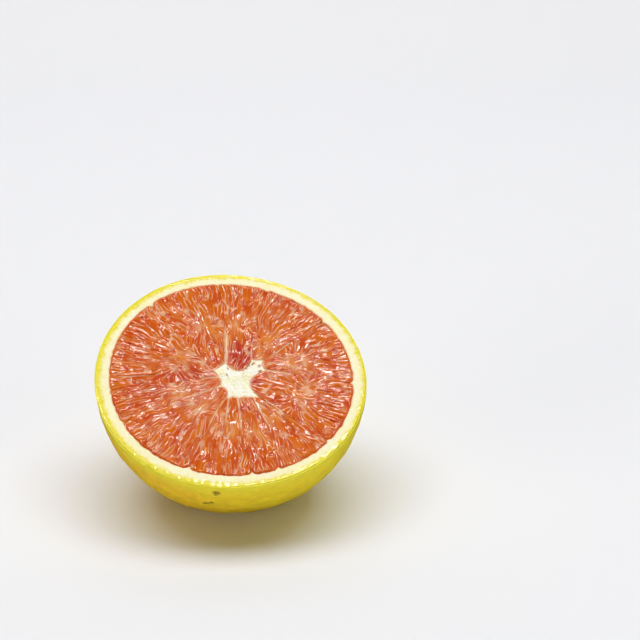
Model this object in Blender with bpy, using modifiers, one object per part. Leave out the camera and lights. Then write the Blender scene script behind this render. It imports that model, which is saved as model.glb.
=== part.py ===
"""Half of a cara cara navel orange, cut across its middle.

The half lies on its rounded skin with the cut face tilted forward, held there by a small flat
spot under its weight. It grew as one piece, so it is one solid: the skin with its stem scar, the
white pith that shows as a ring, a core and thin walls between the segments, and the juice sacs
that fill each segment. Units are metres, +Z is up and the cut face looks towards -Y.
"""

import math
import random

import bmesh
import bpy
from mathutils import Matrix, Vector

# The whole half
CUT_RADIUS = 0.0402
DEPTH = 0.0410
TILT = math.radians(25.5)
FLAT_SPOT_DEPTH = 0.0015
SKIN_STEPS = 72
SKIN_ROWS = 12
SMOOTH_ANGLE = math.radians(35)

# How far the fruit is from round: how many swellings go round it, their share of its radius and
# the angle at which they start
LOBES = ((1, 0.0054, -2.29), (2, 0.0183, 1.53), (3, 0.0066, 0.36), (4, 0.0039, -3.07))

# The stem scar at the far end of the skin, in the middle of a shallow hollow
SCAR_RADIUS = 0.0024
SCAR_FLOOR_RADIUS = 0.0014
SCAR_DEPTH = 0.0010
HOLLOW_RADIUS = 0.0075
HOLLOW_DEPTH = 0.0014

# The pulp: each wall between two segments runs from the core to the pith ring. It is given by
# the angle of its outer end in degrees and the place of its inner end on the core in millimetres.
PULP_RADIUS = 0.0356
PULP_SWELL = 0.0008
PULP_SWELL_ANGLE = math.radians(140)
WALL_THICKNESS = 0.0009
WIDEST_WALL_SHARE = 0.3
POCKET_DEPTH = 0.0015
POCKET_STOPS = (0.06, 0.3, 0.65, 0.93, 0.995)
POCKET_ARC = 9.0
TIP_STOP = 0.01
WALLS = (
    (129.3, (-5.6, 2.1)),
    (95.2, (-1.4, 5.3)),
    (70.7, (6.4, 6.6)),
    (35.3, (11.0, 6.7)),
    (-6.0, (11.1, 2.0)),
    (-41.4, (9.2, -8.2)),
    (-69.1, (6.6, -8.1)),
    (-80.9, (2.0, -8.3)),
    (-94.8, (-0.6, -8.5)),
    (-110.6, (-1.5, -8.1)),
    (-153.4, (-3.1, -3.4)),
    (-173.7, (-3.6, -0.2)),
)

# How far each segment's tip reaches into the core, in millimetres past the line between its two
# inner ends
TIPS = (0.1, 3.8, 0.5, 1.2, 4.4, 0.3, 0.6, 0.8, 0.2, 1.2, 0.5, 0.5)

# The juice sacs, larger than life. Lengths and widths are in metres. Rows, shifts and the hub
# that the outer sacs point away from are shares of the way from the core to the ring.
SAC_SIDES = 6
SAC_RINGS = 4
SAC_WIDTH = 0.0032
SAC_LENGTH = 0.0102
SAC_RISE = 0.0015
SAC_SIZES = (0.88, 1.08)
SAC_STALK = 0.45
SAC_SPREAD = 0.75
SAC_TURN = math.radians(9)
SAC_SHIFT = 0.035
SAC_CLOSENESS = 0.9
ROW_GAP = 0.0058
OUTER_ROW = 0.90
INNER_ROW = 0.14
INNER_LENGTH = 0.62
FULL_LENGTH_ROW = 0.60
HUB = 0.38
HUB_ROW = 0.48
SEED = 7

MILLIMETRE = 0.001
WELD = 1e-7
PEEL, PITH, PULP = range(3)


def clear_scene():
    for thing in list(bpy.data.objects):
        bpy.data.objects.remove(thing)


def new_collection(name):
    collection = bpy.data.collections.new(name)
    bpy.context.scene.collection.children.link(collection)
    return collection


def material(name, colour, roughness):
    made = bpy.data.materials.new(name)
    made.use_nodes = True
    shader = made.node_tree.nodes["Principled BSDF"]
    shader.inputs["Base Color"].default_value = (*colour, 1.0)
    shader.inputs["Roughness"].default_value = roughness
    shader.inputs["Metallic"].default_value = 0.0
    return made


def new_object(name, data, collection):
    made = bpy.data.objects.new(name, data)
    collection.objects.link(made)
    return made


def evaluated_mesh(thing, name):
    """The object's shape with its modifiers, welded into one mesh of its own."""
    bpy.context.view_layer.update()
    seen = thing.evaluated_get(bpy.context.evaluated_depsgraph_get())
    mesh = bpy.data.meshes.new_from_object(seen)
    mesh.name = name
    shape = bmesh.new()
    shape.from_mesh(mesh)
    bmesh.ops.remove_doubles(shape, verts=shape.verts, dist=WELD)
    shape.to_mesh(mesh)
    shape.free()
    return mesh


def skin_height(across, sine):
    """How far below the cut the skin lies: a flattened ball with a hollow at its far end."""
    return -DEPTH * sine + HOLLOW_DEPTH * math.exp(-((across / HOLLOW_RADIUS) ** 2))


def skin_profile():
    """The turned outline: out over the cut face, then down the skin to the stem scar."""
    outline = [(0.0, 0.0), (CUT_RADIUS, 0.0)]
    for row in range(1, SKIN_ROWS):
        turn = 0.5 * math.pi * row / SKIN_ROWS
        across = CUT_RADIUS * math.cos(turn)
        outline.append((across, skin_height(across, math.sin(turn))))
    scar_rim = skin_height(SCAR_RADIUS, 1.0)
    outline.append((SCAR_RADIUS, scar_rim))
    outline.append((SCAR_FLOOR_RADIUS, scar_rim + SCAR_DEPTH))
    outline.append((0.0, scar_rim + SCAR_DEPTH))
    return outline


def swell(point):
    """Moves a point of the turned fruit in or out, to the fruit's own slightly lobed form."""
    angle = math.atan2(point.y, point.x)
    scale = 1 + sum(share * math.cos(count * angle + start) for count, share, start in LOBES)
    point.x *= scale
    point.y *= scale


def turned_half(collection, materials):
    """The solid half fruit before the pulp is set into its cut face."""
    outline = skin_profile()
    line = bpy.data.meshes.new("half_outline")
    steps = [(i, i + 1) for i in range(len(outline) - 1)]
    line.from_pydata([(x, 0.0, z) for x, z in outline], steps, [])
    turned = new_object("half_outline", line, collection)
    screw = turned.modifiers.new("turn", "SCREW")
    screw.steps = screw.render_steps = SKIN_STEPS
    screw.use_merge_vertices = True
    screw.merge_threshold = 1e-5
    mesh = evaluated_mesh(turned, "orange_half")
    bpy.data.objects.remove(turned)
    for point in mesh.vertices:
        swell(point.co)
    half = new_object("orange_half", mesh, collection)
    for made in materials:
        mesh.materials.append(made)
    for face in mesh.polygons:
        on_cut = all(abs(mesh.vertices[corner].co.z) < WELD for corner in face.vertices)
        face.material_index = PITH if on_cut else PEEL
    return half


def pulp_edge(angle):
    """The place on the pulp's outer edge at an angle, on the cut face."""
    reach = PULP_RADIUS + PULP_SWELL * math.cos(2 * (angle - PULP_SWELL_ANGLE))
    return Vector((math.cos(angle), math.sin(angle))) * reach


def wall_angle(index):
    return math.radians(WALLS[index % len(WALLS)][0])


def wall_start(index):
    return Vector(WALLS[index % len(WALLS)][1]) * MILLIMETRE


class Segment:
    """One wedge of pulp between two neighbouring walls, clockwise."""

    def __init__(self, index):
        self.first = wall_start(index)
        self.last = wall_start(index + 1)
        self.start = wall_angle(index)
        self.stop = wall_angle(index + 1)
        if self.stop > self.start:
            self.stop -= 2 * math.pi
        chord = self.last - self.first
        inward = Vector((chord.y, -chord.x)).normalized()
        if inward.dot(pulp_edge(0.5 * (self.start + self.stop)) - self.first) > 0:
            inward = -inward
        self.tip = inward * TIPS[index] * MILLIMETRE

    def place(self, across, out):
        """A point of the wedge: across runs 0 to 1 from wall to wall, out 0 to 1 from the core."""
        inner = self.first.lerp(self.last, across) + self.tip * 4 * across * (1 - across)
        angle = self.start + (self.stop - self.start) * across
        return inner.lerp(pulp_edge(angle), out)

    def width(self, out):
        return (self.place(0.0, out) - self.place(1.0, out)).length

    def inset(self, out):
        """The share of the wedge's width that half a wall takes."""
        return min(WIDEST_WALL_SHARE, 0.5 * WALL_THICKNESS / self.width(out))

    def outline(self):
        """The control points of the pocket's outline, close together where it turns a corner."""
        first = [(self.inset(out), out) for out in POCKET_STOPS]
        arcs = max(2, round(math.degrees(self.start - self.stop) / POCKET_ARC))
        edge = [(i / arcs, 1.0) for i in range(1, arcs)]
        last = [(1 - across, out) for across, out in reversed(first)]
        tip = [(0.5, TIP_STOP)]
        return [self.place(across, out) for across, out in first + edge + last + tip]


def pocket(segment, name, collection):
    """The cutter that sinks a segment's bed below the cut face."""
    curve = bpy.data.curves.new(name, "CURVE")
    curve.dimensions = "2D"
    curve.fill_mode = "BOTH"
    curve.extrude = POCKET_DEPTH
    curve.resolution_u = 2
    points = segment.outline()
    spline = curve.splines.new("NURBS")
    spline.points.add(len(points) - 1)
    for control, point in zip(spline.points, points):
        control.co = (point.x, point.y, 0.0, 1.0)
    spline.order_u = 3
    spline.use_cyclic_u = True
    drawn = new_object(name + "_outline", curve, collection)
    mesh = evaluated_mesh(drawn, name)
    bpy.data.objects.remove(drawn)
    for face in mesh.polygons:
        face.material_index = PULP
    return new_object(name, mesh, collection)


def sac_mesh():
    """A juice sac of unit size along +X: blunt at its far end and drawn out to a stalk."""
    shape = bmesh.new()
    bmesh.ops.create_uvsphere(shape, u_segments=SAC_SIDES, v_segments=SAC_RINGS, radius=0.5)
    lie_down = Matrix.Rotation(math.pi / 2, 3, "Y")
    bmesh.ops.rotate(shape, verts=shape.verts, matrix=lie_down)
    for corner in shape.verts:
        along = corner.co.x + 0.5
        taper = SAC_STALK + SAC_SPREAD * along
        corner.co.y *= taper
        corner.co.z *= taper
    for face in shape.faces:
        face.material_index = PULP
    mesh = bpy.data.meshes.new("juice_sac")
    shape.to_mesh(mesh)
    shape.free()
    return mesh


def sac_rows(segment):
    """The rows of sacs, from the ring inwards: each one's place, its spare width and its count."""
    reach = (segment.place(0.5, 1.0) - segment.place(0.5, 0.0)).length
    rows = max(3, round(reach / ROW_GAP))
    for row in range(rows):
        out = OUTER_ROW - (OUTER_ROW - INNER_ROW) * row / (rows - 1)
        gap = max(0.0, segment.width(out) - WALL_THICKNESS - SAC_WIDTH)
        count = 1 + round(gap / (SAC_CLOSENESS * SAC_WIDTH))
        yield out, gap, count


def sac_places(segment, draw):
    """Where a segment's sacs lie and which way each points: they fan out from stalks at a hub."""
    hub = segment.place(0.5, HUB)
    tip = segment.place(0.5, 0.0)
    for out, gap, count in sac_rows(segment):
        share = gap / segment.width(out)
        stalk = hub if out > HUB_ROW else tip
        for i in range(count):
            across = 0.5
            if count > 1:
                across += share * (i / (count - 1) - 0.5)
            shift = 0.0 if out == OUTER_ROW else draw.uniform(-SAC_SHIFT, SAC_SHIFT)
            spot = segment.place(across, out + shift)
            towards = spot - stalk
            heading = math.atan2(towards.y, towards.x) + draw.uniform(-SAC_TURN, SAC_TURN)
            yield spot, heading, draw.uniform(*SAC_SIZES), out


def add_sacs(segment, mesh, draw, collection):
    for spot, heading, size, out in sac_places(segment, draw):
        sac = new_object("juice_sac", mesh, collection)
        length = SAC_LENGTH * (INNER_LENGTH + (1 - INNER_LENGTH) * min(1.0, out / FULL_LENGTH_ROW))
        room = segment.width(out) - WALL_THICKNESS
        width = min(SAC_WIDTH * size, max(room, 0.5 * SAC_WIDTH))
        sac.scale = (length * size, width, 2 * SAC_RISE * size)
        sac.rotation_euler.z = heading
        sac.location = (spot.x, spot.y, -POCKET_DEPTH)


def combine(body, name, operation, collection):
    """One Boolean of the body with every object of a collection, applied to the body."""
    change = body.modifiers.new(name, "BOOLEAN")
    change.operation = operation
    change.operand_type = "COLLECTION"
    change.collection = collection
    change.solver = "EXACT"
    mesh = evaluated_mesh(body, body.name)
    body.modifiers.remove(change)
    body.data = mesh
    for thing in list(collection.objects):
        bpy.data.objects.remove(thing)
    bpy.data.collections.remove(collection)


def set_down(body):
    """Tilts the half, stands it over the origin and shaves the flat spot that it rests on."""
    tilt = Matrix.Rotation(TILT, 4, "X")
    places = [tilt @ point.co for point in body.data.vertices]
    middle_x = 0.5 * (min(p.x for p in places) + max(p.x for p in places))
    middle_y = 0.5 * (min(p.y for p in places) + max(p.y for p in places))
    lowest = min(p.z for p in places)
    body.rotation_euler.x = TILT
    body.location = (-middle_x, -middle_y, -FLAT_SPOT_DEPTH - lowest)
    cutters = new_collection("cutters")
    bpy.ops.mesh.primitive_cube_add(size=1.0, location=(0.0, 0.0, -0.5))
    table = bpy.context.active_object
    table.name = "table_cutter"
    table.display_type = "WIRE"
    table.hide_render = True
    for home in list(table.users_collection):
        home.objects.unlink(table)
    cutters.objects.link(table)
    shave = body.modifiers.new("flat_spot", "BOOLEAN")
    shave.operation = "DIFFERENCE"
    shave.solver = "EXACT"
    shave.object = table


def build():
    clear_scene()
    orange = new_collection("cara_cara_orange")
    materials = (
        material("peel", (0.83, 0.55, 0.05), 0.38),
        material("pith", (0.93, 0.88, 0.66), 0.60),
        material("pulp", (0.80, 0.17, 0.05), 0.22),
    )
    half = turned_half(orange, materials)
    pockets = new_collection("pockets")
    sacs = new_collection("sacs")
    segments = [Segment(index) for index in range(len(WALLS))]
    draw = random.Random(SEED)
    sac = sac_mesh()
    for number, segment in enumerate(segments, start=1):
        pocket(segment, f"pocket_{number}", pockets)
        add_sacs(segment, sac, draw, sacs)
    print(len(sacs.objects), "juice sacs in", len(segments), "segments")
    combine(half, "sink_pockets", "DIFFERENCE", pockets)
    combine(half, "join_sacs", "UNION", sacs)
    half.data.shade_smooth()
    half.data.set_sharp_from_angle(angle=SMOOTH_ANGLE)
    set_down(half)


build()
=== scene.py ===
# %% [markdown]
# # Half of a cara cara orange
# A cut orange is three finishes in one fruit: waxy skin, dry white pith and wet pulp. The packed
# model already holds its size and place. This lesson dresses it: the skin with its oil glands, the
# pith with its walls and spongy core, and twelve segments full of juice sacs. Each is made on its
# own, in the cut's own frame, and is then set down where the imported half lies.

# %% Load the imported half
import math

import bmesh
import bpy
import numpy as np
from mathutils import Matrix, Vector, noise


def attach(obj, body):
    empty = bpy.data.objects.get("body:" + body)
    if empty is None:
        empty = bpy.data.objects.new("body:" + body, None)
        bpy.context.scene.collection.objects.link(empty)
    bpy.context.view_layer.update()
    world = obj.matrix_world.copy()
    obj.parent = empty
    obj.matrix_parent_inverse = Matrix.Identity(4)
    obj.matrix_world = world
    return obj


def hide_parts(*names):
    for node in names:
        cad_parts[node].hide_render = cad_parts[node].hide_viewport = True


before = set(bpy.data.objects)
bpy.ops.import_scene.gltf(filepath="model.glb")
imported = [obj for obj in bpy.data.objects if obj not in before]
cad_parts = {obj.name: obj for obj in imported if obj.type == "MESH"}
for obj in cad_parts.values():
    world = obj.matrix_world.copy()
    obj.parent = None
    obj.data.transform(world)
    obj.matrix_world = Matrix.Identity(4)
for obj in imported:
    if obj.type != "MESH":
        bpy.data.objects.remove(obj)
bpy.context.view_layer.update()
print("packed nodes:", sorted(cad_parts))

# %% [markdown]
# The half was turned about an axis through its cut, so its shapes are simplest with the cut face at
# z = 0 and the skin below it. TO_FRAME then tilts the cut face forward and lifts it to its place.
# Lengths on the cut are in millimetres, because fruit is measured that way, and become metres last.

# %% The cut's own frame
MILLIMETRE = 0.001
TILT = math.radians(25.5)
CUT_CENTRE = Vector((-0.0001053, -0.0022509, 0.0392202))
TO_FRAME = Matrix.Translation(CUT_CENTRE) @ Matrix.Rotation(TILT, 4, "X")
print("cut face leans forward by", round(math.degrees(TILT), 1), "degrees")

# %% [markdown]
# A mesh of a hundred thousand points is shaped fastest with arrays. points_of() and move_points()
# read a bmesh's points into an array and write them back, so that a formula can move all of them
# at once. finished_piece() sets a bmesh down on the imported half, paint() stores numbers on its
# points for its finish to read, and claim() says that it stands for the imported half.

# %% From a bmesh to a finished piece


def points_of(shape):
    return np.array([corner.co for corner in shape.verts])


def move_points(shape, places):
    for corner, place in zip(shape.verts, places):
        corner.co = place


def finished_piece(shape, name, finish):
    """Makes an object of a bmesh in millimetres on the cut's frame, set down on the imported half."""
    bmesh.ops.transform(shape, matrix=Matrix.Scale(MILLIMETRE, 4), verts=shape.verts)
    bmesh.ops.transform(shape, matrix=TO_FRAME, verts=shape.verts)
    mesh = bpy.data.meshes.new(name)
    shape.to_mesh(mesh)
    shape.free()
    mesh.shade_smooth()
    mesh.materials.append(finish)
    piece = bpy.data.objects.new(name, mesh)
    bpy.context.scene.collection.objects.link(piece)
    return piece


def paint(piece, fields):
    """Stores named numbers on a piece's points. Points past the last number get 0."""
    for name, values in fields.items():
        padded = np.zeros(len(piece.data.vertices), dtype=np.float32)
        padded[: len(values)] = values
        layer = piece.data.attributes.new(name, "FLOAT", "POINT")
        layer.data.foreach_set("value", padded)


def claim(piece):
    """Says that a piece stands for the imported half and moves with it."""
    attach(piece, "root")
    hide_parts("orange_half")
    triangles = sum(len(face.vertices) - 2 for face in piece.data.polygons)
    print(piece.name, triangles, "triangles")


# %% [markdown]
# Noise from a texture node can't move points, and calling a noise function a hundred thousand
# times is slow. A sum of sine waves in random directions looks much the same at one size of grain,
# works on whole arrays, and gives the same result on each run because its draw is seeded.

# %% Smooth random waves
WAVE_COUNT = 7
WAVE_LENGTHS = (0.7, 1.5)


def waves(places, length, seed):
    """A smooth random field of about -1 to 1 with grains of about the given length."""
    draw = np.random.default_rng(seed)
    headings = draw.normal(size=(WAVE_COUNT, places.shape[1]))
    headings /= np.linalg.norm(headings, axis=1)[:, None]
    rates = 2 * math.pi / (length * draw.uniform(*WAVE_LENGTHS, WAVE_COUNT))
    starts = draw.uniform(0, 2 * math.pi, WAVE_COUNT)
    total = np.zeros(len(places))
    for heading, rate, start in zip(headings, rates, starts):
        total += np.sin(places @ heading * rate + start)
    return total / math.sqrt(WAVE_COUNT)


def smooth_step(low, high, value):
    """Rises smoothly from 0 to 1 while the value goes from low to high."""
    share = np.clip((value - low) / (high - low), 0, 1)
    return share * share * (3 - 2 * share)


# %% [markdown]
# A material is a web of nodes, and its sums are easier to read as sums. Field wraps one socket and
# turns + - * / into Math nodes. Finish holds one material and adds any other node through node().
# Its patterns are placed on the cut's own frame, so they stay on the fruit however it is turned.

# %% Shader sums in plain Python
# A Mix node has sockets for numbers, vectors and colours. These are its colour ones.
MIX_FIRST = 6
MIX_SECOND = 7
MIX_RESULT = 2


class Field:
    """A value that varies over a surface. Sums of fields and numbers are fields too."""

    def __init__(self, finish, socket):
        self.finish = finish
        self.socket = socket

    def maths(self, operation, first, second):
        settings = {"operation": operation}
        return self.finish.node("ShaderNodeMath", settings, {0: first, 1: second})

    def __add__(self, other):
        return self.maths("ADD", self, other)

    def __sub__(self, other):
        return self.maths("SUBTRACT", self, other)

    def __mul__(self, other):
        return self.maths("MULTIPLY", self, other)

    def __truediv__(self, other):
        return self.maths("DIVIDE", self, other)

    def __radd__(self, other):
        return self.maths("ADD", other, self)

    def __rsub__(self, other):
        return self.maths("SUBTRACT", other, self)

    def __rmul__(self, other):
        return self.maths("MULTIPLY", other, self)

    def step(self, low, high):
        """Rises smoothly from 0 to 1 while this field goes from low to high."""
        settings = {"interpolation_type": "SMOOTHSTEP", "clamp": True}
        values = {"Value": self, "From Min": low, "From Max": high}
        return self.finish.node("ShaderNodeMapRange", settings, values)


class Finish:
    """One material, built node by node round a Principled shader."""

    def __init__(self, name):
        self.material = bpy.data.materials.new(name)
        self.material.use_nodes = True
        self.tree = self.material.node_tree
        self.shader = self.tree.nodes["Principled BSDF"]
        spots = self.node("ShaderNodeTexCoord", out="Object")
        settings = {"vector_type": "TEXTURE"}
        values = {0: spots, "Location": CUT_CENTRE, "Rotation": (TILT, 0, 0)}
        self.on_cut = self.node("ShaderNodeMapping", settings, values)

    def plug(self, socket, value):
        if isinstance(value, Field):
            self.tree.links.new(value.socket, socket)
        else:
            socket.default_value = value

    def node(self, kind, settings=None, values=None, out=0):
        """Adds a node: its settings first, then the values or links of its sockets."""
        made = self.tree.nodes.new(kind)
        for name, value in (settings or {}).items():
            setattr(made, name, value)
        for name, value in (values or {}).items():
            self.plug(made.inputs[name], value)
        return Field(self, made.outputs[out])

    def grain(self, millimetres, detail=2.0, roughness=0.5):
        """Noise of about 0 to 1, with grains of the given size."""
        values = {
            "Vector": self.on_cut,
            "Scale": 1 / (millimetres * MILLIMETRE),
            "Detail": detail,
            "Roughness": roughness,
        }
        return self.node("ShaderNodeTexNoise", None, values)

    def cells(self, millimetres):
        """How far a spot is from the middle of its cell, in cells of the given size."""
        values = {"Vector": self.on_cut, "Scale": 1 / (millimetres * MILLIMETRE)}
        return self.node("ShaderNodeTexVoronoi", None, values, "Distance")

    def painted(self, name):
        """A number that was stored on the piece's points."""
        return self.node("ShaderNodeAttribute", {"attribute_name": name}, None, "Fac")

    def blend(self, share, first, second):
        """A colour: first where share is 0, second where it is 1."""
        values = {"Factor": share}
        for socket, colour in ((MIX_FIRST, first), (MIX_SECOND, second)):
            values[socket] = colour if isinstance(colour, Field) else (*colour, 1.0)
        return self.node("ShaderNodeMix", {"data_type": "RGBA"}, values, MIX_RESULT)

    def bump(self, height, millimetres, strength):
        """Tilts the surface's normal as if the height field rose by that many millimetres."""
        values = {"Height": height, "Distance": millimetres * MILLIMETRE, "Strength": strength}
        return self.node("ShaderNodeBump", None, values)

    def wear(self, **values):
        """Sets the shader's own sockets and gives back the finished material."""
        for name, value in values.items():
            socket = self.shader.inputs[name.replace("_", " ")]
            self.plug(socket, value)
        print(self.material.name, "takes", len(self.tree.nodes), "nodes")
        return self.material


# %% [markdown]
# The fruit isn't quite round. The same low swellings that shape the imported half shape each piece
# here, so that skin, pith and pulp stay inside one another. The skin is a flattened ball with a
# shallow hollow at its far end, and in the hollow lies the scar where the stalk sat.

# %% The fruit's form
CUT_RADIUS = 40.2
DEPTH = 41.0
LOBES = ((1, 0.0054, -2.29), (2, 0.0183, 1.53), (3, 0.0066, 0.36), (4, 0.0039, -3.07))
HOLLOW_RADIUS = 7.5
HOLLOW_DEPTH = 1.4
SCAR_RADIUS = 2.4
SCAR_FLOOR_RADIUS = 1.4
SCAR_DEPTH = 1.0


def swell(places):
    """Moves points in or out, to the fruit's slightly lobed form."""
    angle = np.arctan2(places[:, 1], places[:, 0])
    scale = 1 + sum(share * np.cos(count * angle + start) for count, share, start in LOBES)
    swollen = places.copy()
    swollen[:, 0] *= scale
    swollen[:, 1] *= scale
    return swollen


def skin_height(across, sine):
    """How high the skin lies over the cut: always below it."""
    ball = -DEPTH * sine + HOLLOW_DEPTH * np.exp(-((across / HOLLOW_RADIUS) ** 2))
    scar = SCAR_DEPTH * (1 - smooth_step(SCAR_FLOOR_RADIUS, SCAR_RADIUS, across))
    return ball + scar


print("the half is", 2 * CUT_RADIUS, "mm across and", DEPTH, "mm deep")

# %% [markdown]
# The skin's colour runs from gold on the side that faced the sun to green on the other, with darker
# dots over the oil glands and a few brown scuffs. Noise at several sizes mixes those colours, and
# the place on the fruit decides which side is gold. Wax gives it a soft shine, and the rim is wet
# with juice: both are set by Coat Weight.

# %% Skin finish
# Each scuff: the place of its middle, in millimetres on the cut's frame, and its size.
SCUFFS = ((-4.8, -39.5, -3.5, 1.0), (-6.3, -38.4, -9.6, 0.8), (-7.8, -37.8, -10.7, 0.7))


def skin_finish():
    skin = Finish("waxy_skin")
    place = skin.node("ShaderNodeSeparateXYZ", None, {0: skin.on_cut})
    side = place / MILLIMETRE
    patches = skin.grain(16, detail=3.0)
    sun = (side * -0.014 + patches).step(0.10, 0.80)
    ground = skin.blend(sun, (0.88, 0.74, 0.028), (0.96, 0.60, 0.026))
    mottle = skin.grain(1.6, detail=3.0, roughness=0.6).step(0.38, 0.64)
    mottled = skin.blend(mottle * 0.55, ground, (1.0, 0.76, 0.04))
    dull = skin.grain(3.4, detail=4.0).step(0.48, 0.66)
    dulled = skin.blend(dull * 0.3, mottled, (0.70, 0.50, 0.022))
    glands = skin.painted("gland")
    dotted = skin.blend(glands * 0.35, dulled, (0.56, 0.46, 0.02))
    freckles = skin.cells(4.3).step(0.12, 0.05) * skin.grain(9).step(0.58, 0.66)
    freckled = skin.blend(freckles * 0.2, dotted, (0.60, 0.42, 0.05))
    scarred = skin.blend(skin.painted("scar"), freckled, (0.33, 0.30, 0.13))
    # Painted light: edge paints the skin paler and more lemon towards the rim.
    rim_lit_and_scuffed = skin.blend(skin.painted("edge"), scarred, (0.95, 0.84, 0.045))
    for *spot, size in SCUFFS:
        ends = {0: skin.on_cut, 1: Vector(spot) * MILLIMETRE}
        away = skin.node("ShaderNodeVectorMath", {"operation": "DISTANCE"}, ends, "Value")
        ragged = away / MILLIMETRE + 2.4 * (skin.grain(0.9, detail=3.0) - 0.5)
        mark = ragged.step(1.5 * size, 0.5 * size) * 0.85
        rim_lit_and_scuffed = skin.blend(mark, rim_lit_and_scuffed, (0.14, 0.080, 0.02))
    relief = skin.bump(skin.grain(0.45), 0.05, 0.6)
    rough = 0.34 + 0.16 * skin.grain(3.5) + 0.3 * skin.painted("scar")
    return skin.wear(
        Base_Color=rim_lit_and_scuffed,
        Roughness=rough,
        Normal=relief,
        Subsurface_Weight=0.15,
        Subsurface_Radius=(0.9, 0.6, 0.15),
        Subsurface_Scale=0.002,
        Coat_Weight=0.15 + 0.85 * skin.painted("wet"),
        Coat_Roughness=0.14,
        Coat_IOR=1.5,
        Specular_IOR_Level=0.35,
        IOR=1.45,
    )


# %% [markdown]
# The skin is a ball of equal triangles, so that its glands are as fine at the pole as at the rim.
# A ball of rings would crowd its points at the pole. The plane of the cut bisects it, the open
# side is filled, and two insets turn the cap into a level rim and a sunken bed for the pith.

# %% Skin shape
BALL_CUTS = 8
PLANE_TOLERANCE = 1e-6
RIM_TOLERANCE = 1e-7
RIM_ROUND = 0.14
RIM_DROP = 0.6
RIM_LIP = 0.15
RIM_WIDTH = 0.15
BED_INSET = 0.8
BED_DEPTH = 3.0
FIRST_INSET = 0.01
GLAND_GAP = 1.15
GLAND_WIDTH = 0.36
GLAND_DEPTH = 0.09
PEBBLE_SINK = 0.12
# How far below the cut the glands and the pebbling reach full depth, and how high over the table.
GLAND_FADE = 0.5
PEBBLE_FADE = 3.0
TABLE_FADE = 1.2


def gland_field(places):
    """1 in the middle of each oil gland, fading to 0 between them."""
    spots = (Vector(place) / GLAND_GAP for place in places)
    nearest = np.array([noise.voronoi(spot)[0][0] for spot in spots])
    return np.exp(-((nearest / GLAND_WIDTH) ** 2))


def half_ball():
    """The lower half of a ball of radius 1, open at the plane of the cut."""
    shape = bmesh.new()
    bmesh.ops.create_icosphere(shape, subdivisions=BALL_CUTS, radius=1.0)
    geometry = shape.verts[:] + shape.edges[:] + shape.faces[:]
    plane = {"plane_co": (0, 0, 0), "plane_no": (0, 0, 1), "clear_outer": True}
    bmesh.ops.bisect_plane(shape, geom=geometry, dist=PLANE_TOLERANCE, **plane)
    return shape


def skin_places(ball):
    """The ball's points, moved to the fruit's form."""
    across = CUT_RADIUS * np.hypot(ball[:, 0], ball[:, 1])
    places = CUT_RADIUS * ball
    places[:, 2] = skin_height(across, -ball[:, 2])
    return swell(places)


def on_table(places):
    """How high points of the cut's frame lie over the table, in millimetres."""
    lift = CUT_CENTRE.z / MILLIMETRE
    return lift + places[:, 1] * math.sin(TILT) + places[:, 2] * math.cos(TILT)


def roughened(places, ball):
    """Adds glands and low pebbling, and keeps the flat spot that the half lies on."""
    glands = gland_field(places)
    outward = ball / np.linalg.norm(ball, axis=1)[:, None]
    below = -places[:, 2]
    pebbles = 0.10 * waves(places, 9.0, seed=1) + 0.05 * waves(places, 3.6, seed=2) - PEBBLE_SINK
    calm = smooth_step(0.0, TABLE_FADE, on_table(places))
    relief = (pebbles * smooth_step(0.0, PEBBLE_FADE, below) - GLAND_DEPTH * glands) * calm
    relief = relief * smooth_step(0.0, GLAND_FADE, below)
    rounding = RIM_ROUND * np.clip(1 - below / RIM_DROP, 0, 1) ** 2
    pushed = places + outward * (relief - rounding)[:, None]
    pushed[:, 2] = np.where(ball[:, 2] > -RIM_TOLERANCE, -RIM_LIP, pushed[:, 2])
    sunk = np.minimum(on_table(pushed), 0.0)
    pushed[:, 1] -= sunk * math.sin(TILT)
    pushed[:, 2] -= sunk * math.cos(TILT)
    return pushed, glands * calm


def close_cut(shape):
    """Fills the cut, then insets it twice: a level rim, and a bed for the pith below it."""
    rim = [edge for edge in shape.edges if len(edge.link_faces) == 1]
    cap = bmesh.ops.contextual_create(shape, geom=rim)["faces"]
    for inward, drop in ((RIM_WIDTH, 0.0), (BED_INSET, BED_DEPTH)):
        # A wide inset leaves some of this face's many corners behind, so a narrow one is scaled.
        bmesh.ops.inset_individual(shape, faces=cap, thickness=FIRST_INSET, depth=-drop)
        share = 1 - inward / CUT_RADIUS
        bmesh.ops.scale(shape, vec=(share, share, 1.0), verts=cap[0].verts)


# %% [markdown]
# Part of the finish follows the shape: dots on the glands, the brown scar, the wet rim, and the
# painted light that makes the skin paler towards the rim. A texture can't know where those are, so
# numbers for them are worked out from the places of the points and stored there, and the finish
# reads them through painted().

# %% Skin in place
FAR_END = -30
SCAR_EDGE = (1.6, 3.4)
# The two bands of painted light below the rim, in millimetres below the cut.
PAINTED_LIGHT_BAND = (-7.0, -1.5)
RIM_LIGHT_BAND = (-2.4, -0.6)
WET_BAND = (-1.6, -0.5)


def skin_fields(places, glands):
    """What the skin's finish reads: glands, scar, wet rim, and the painted light paler at the rim."""
    across = np.hypot(places[:, 0], places[:, 1])
    height = places[:, 2]
    uneven = height + 0.5 * waves(places, 2.6, seed=5)
    return {
        "gland": glands,
        "scar": (height < FAR_END) * (1 - smooth_step(*SCAR_EDGE, across)),
        # Painted light: edge makes the skin paler towards the rim.
        "edge": 0.45 * smooth_step(*PAINTED_LIGHT_BAND, uneven) + 0.55 * smooth_step(*RIM_LIGHT_BAND, uneven),
        "wet": smooth_step(*WET_BAND, height),
    }


def make_skin():
    shape = half_ball()
    ball = points_of(shape)
    places, glands = roughened(skin_places(ball), ball)
    move_points(shape, places)
    close_cut(shape)
    bmesh.ops.recalc_face_normals(shape, faces=shape.faces)
    fields = skin_fields(points_of(shape), glands)
    skin = finished_piece(shape, "peel", skin_finish())
    paint(skin, fields)
    claim(skin)


make_skin()

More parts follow.
